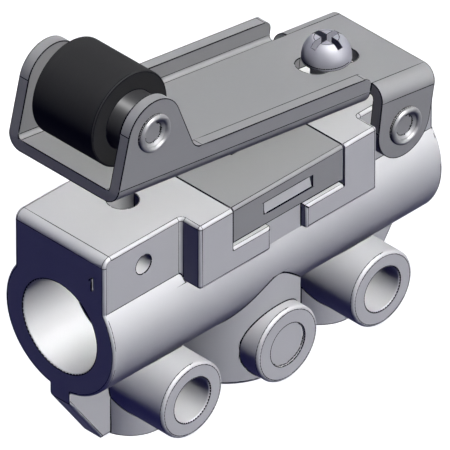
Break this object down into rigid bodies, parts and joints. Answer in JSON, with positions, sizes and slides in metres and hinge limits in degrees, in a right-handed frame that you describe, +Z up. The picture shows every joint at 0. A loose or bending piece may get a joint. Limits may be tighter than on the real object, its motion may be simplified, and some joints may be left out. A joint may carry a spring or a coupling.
{
  "type": "roller lever pneumatic valve",
  "caption": "Roller-lever pneumatic valve: die-cast body with side and foot ports, pivoted sheet lever with roller, plunger, bell crank, sprung spool.",
  "frame": {"origin": "under the middle of the body, on the plane of the foot columns", "axes": "+X along the bore to the lever's pivot end, roller end at -X, side ports face -Y, +Z up"},
  "size_m": [0.0842, 0.0326, 0.0819],
  "materials": {
    "die_cast": "fine blasted casting",
    "insert": "moulded, satin",
    "felt": "pressed felt",
    "lever_sheet": "plated sheet steel",
    "roller_polymer": "turned polymer",
    "bush_steel": "turned steel",
    "rivet_steel": "plated",
    "screw_steel": "bright plated",
    "stop_polymer": "natural polymer",
    "spacer_steel": "turned",
    "pin_steel": "ground",
    "guide_steel": "turned and plated",
    "crank_steel": "sintered steel",
    "spool_aluminium": "turned and anodised",
    "carrier_aluminium": "turned",
    "seal_rubber": "nitrile rubber",
    "spacer_brass": "turned",
    "plug_aluminium": "turned",
    "circlip_steel": "phosphated spring steel",
    "spring_steel": "drawn wire",
    "foot_plug_brass": "turned"
  },
  "bodies": {
    "housing": {"valve_body": "die_cast", "chamber_cover": "insert", "vent_felts": "felt", "stop_screw": "screw_steel", "stop_washer": "stop_polymer", "stop_spacer": "spacer_steel", "crank_pin": "pin_steel", "plunger_guide": "guide_steel", "front_seal_carrier": "carrier_aluminium", "middle_seal_carrier": "carrier_aluminium", "rear_seal_carrier": "carrier_aluminium", "spool_seals": "seal_rubber", "carrier_seals": "seal_rubber", "front_plug_seal": "seal_rubber", "end_cap_seal": "seal_rubber", "front_spacer": "spacer_brass", "rear_spacer": "spacer_brass", "front_plug": "plug_aluminium", "rear_end_cap": "plug_aluminium", "front_circlip": "circlip_steel", "rear_circlip": "circlip_steel", "return_spring": "spring_steel", "foot_port_plugs": "foot_plug_brass"},
    "lever_arm": {"lever": "lever_sheet", "roller_rivet": "rivet_steel", "pivot_rivet": "rivet_steel"},
    "roller_unit": {"roller": "roller_polymer", "roller_bush": "bush_steel"},
    "plunger_unit": {"plunger": "pin_steel"},
    "crank_unit": {"bell_crank": "crank_steel"},
    "spool_unit": {"spool": "spool_aluminium", "spring_seat": "spool_aluminium"}
  },
  "joints": [
    {"name": "lever_swing", "type": "hinge", "parent": "housing", "child": "lever_arm", "pos_m": [0.032, 0, 0.0423], "axis": [0, -1, 0], "range_deg": [0, 8.5], "stiffness_Nm_per_rad": 1.5, "springref_deg": -14.32},
    {"name": "roller_spin", "type": "hinge", "parent": "lever_arm", "child": "roller_unit", "pos_m": [-0.03211, 0, 0.07236], "axis": [0, 1, 0], "continuous": true},
    {"name": "plunger_slide", "type": "slide", "parent": "housing", "child": "plunger_unit", "axis": [0, 0, -1], "range_m": [0, 0.00482]},
    {"name": "crank_swing", "type": "hinge", "parent": "housing", "child": "crank_unit", "pos_m": [0.011, 0, 0.0374], "axis": [0, -1, 0], "range_deg": [0, 25.3]},
    {"name": "spool_slide", "type": "slide", "parent": "housing", "child": "spool_unit", "axis": [1, 0, 0], "range_m": [0, 0.00425], "deforming": ["return_spring"]}
  ],
  "couplings": [
    {"joint": "plunger_slide", "follows": "lever_swing", "m_per_rad": 0.032473},
    {"joint": "crank_swing", "follows": "lever_swing", "ratio": 2.9762},
    {"joint": "spool_slide", "follows": "lever_swing", "m_per_rad": 0.028635}
  ]
}
